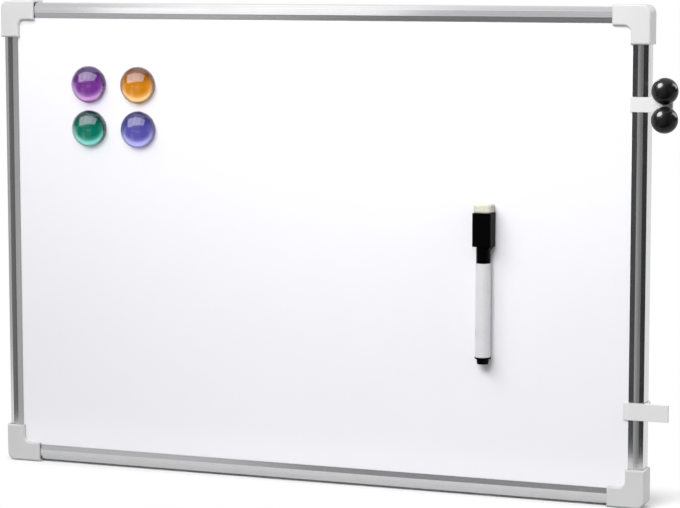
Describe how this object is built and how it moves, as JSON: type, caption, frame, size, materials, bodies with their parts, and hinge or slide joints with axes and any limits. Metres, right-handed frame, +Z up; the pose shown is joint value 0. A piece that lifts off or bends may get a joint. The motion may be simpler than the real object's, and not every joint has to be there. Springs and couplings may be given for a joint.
{
  "type": "magnetic whiteboard",
  "caption": "Wall-hung magnetic whiteboard in an aluminium frame with moulded corner caps, slide-on frame clips, magnets and a capped marker with an eraser.",
  "frame": {"origin": "middle of the four wall keyholes, in the plane of the corner caps' backs, which lies on the wall", "axes": "+X to the right and +Z up as seen from the writing side; +Y runs back into the wall, so the writing face looks along -Y"},
  "size_m": [0.5209, 0.03, 0.35],
  "materials": {
    "white_enamel": "gloss enamel, faintly blue white",
    "fibreboard": "raw fibreboard",
    "zinc_steel": "zinc coated, dull spangle",
    "aluminium": "satin anodised, drawn along its length",
    "cap_plastic": "satin moulded",
    "clip_paint": "satin white powder coat",
    "black_gloss": "polished black",
    "ferrite": "sintered magnet, ground",
    "black_plastic": "satin black moulded",
    "cream_felt": "pressed wool felt",
    "barrel_plastic": "semi-gloss moulded",
    "ink_felt": "ink-soaked fibre",
    "purple_glass": "clear tinted, polished",
    "amber_glass": "clear tinted, polished",
    "green_glass": "clear tinted, polished",
    "blue_glass": "clear tinted, polished",
    "purple_foil": "coloured backing",
    "amber_foil": "coloured backing",
    "green_foil": "coloured backing",
    "blue_foil": "coloured backing"
  },
  "bodies": {
    "board": {"writing_sheet": "white_enamel", "core_board": "fibreboard", "back_sheet": "zinc_steel", "rail_top": "aluminium", "rail_right": "aluminium", "rail_bottom": "aluminium", "rail_left": "aluminium", "cap_top_left": "cap_plastic", "cap_top_right": "cap_plastic", "cap_bottom_right": "cap_plastic", "cap_bottom_left": "cap_plastic"},
    "upper_clip": {"clip_upper": "clip_paint"},
    "lower_clip": {"clip_lower": "clip_paint"},
    "upper_ball": {"ball_upper_shell": "black_gloss", "ball_upper_magnet": "ferrite"},
    "lower_ball": {"ball_lower_shell": "black_gloss", "ball_lower_magnet": "ferrite"},
    "marker_cap": {"marker_cap": "black_plastic", "cap_magnet": "ferrite", "eraser_felt": "cream_felt"},
    "marker_barrel": {"marker_barrel": "barrel_plastic", "end_plug": "black_plastic", "nib_holder": "black_plastic", "nib": "ink_felt", "ink_reservoir": "ink_felt"},
    "purple_magnet": {"purple_glass": "purple_glass", "purple_foil": "purple_foil", "purple_disc": "ferrite"},
    "amber_magnet": {"amber_glass": "amber_glass", "amber_foil": "amber_foil", "amber_disc": "ferrite"},
    "green_magnet": {"green_glass": "green_glass", "green_foil": "green_foil", "green_disc": "ferrite"},
    "blue_magnet": {"blue_glass": "blue_glass", "blue_foil": "blue_foil", "blue_disc": "ferrite"}
  },
  "joints": [
    {"name": "upper_clip_slide", "type": "slide", "parent": "board", "child": "upper_clip", "axis": [0, 0, 1], "range_m": [-0.092, 0.035]},
    {"name": "lower_clip_slide", "type": "slide", "parent": "board", "child": "lower_clip", "axis": [0, 0, 1], "range_m": [-0.034, 0.092]},
    {"name": "upper_ball_pull", "type": "slide", "parent": "upper_clip", "child": "upper_ball", "axis": [0, -1, 0], "range_m": [0, 0.05]},
    {"name": "lower_ball_pull", "type": "slide", "parent": "upper_clip", "child": "lower_ball", "axis": [0, -1, 0], "range_m": [0, 0.05]},
    {"name": "purple_magnet_pull", "type": "slide", "parent": "board", "child": "purple_magnet", "axis": [0, -1, 0], "range_m": [0, 0.05]},
    {"name": "amber_magnet_pull", "type": "slide", "parent": "board", "child": "amber_magnet", "axis": [0, -1, 0], "range_m": [0, 0.05]},
    {"name": "green_magnet_pull", "type": "slide", "parent": "board", "child": "green_magnet", "axis": [0, -1, 0], "range_m": [0, 0.05]},
    {"name": "blue_magnet_pull", "type": "slide", "parent": "board", "child": "blue_magnet", "axis": [0, -1, 0], "range_m": [0, 0.05]},
    {"name": "marker_pull", "type": "slide", "parent": "board", "child": "marker_cap", "axis": [0, -1, 0], "range_m": [0, 0.05]},
    {"name": "barrel_pull", "type": "slide", "parent": "marker_cap", "child": "marker_barrel", "axis": [0, 0, -1], "range_m": [0, 0.05]}
  ]
}
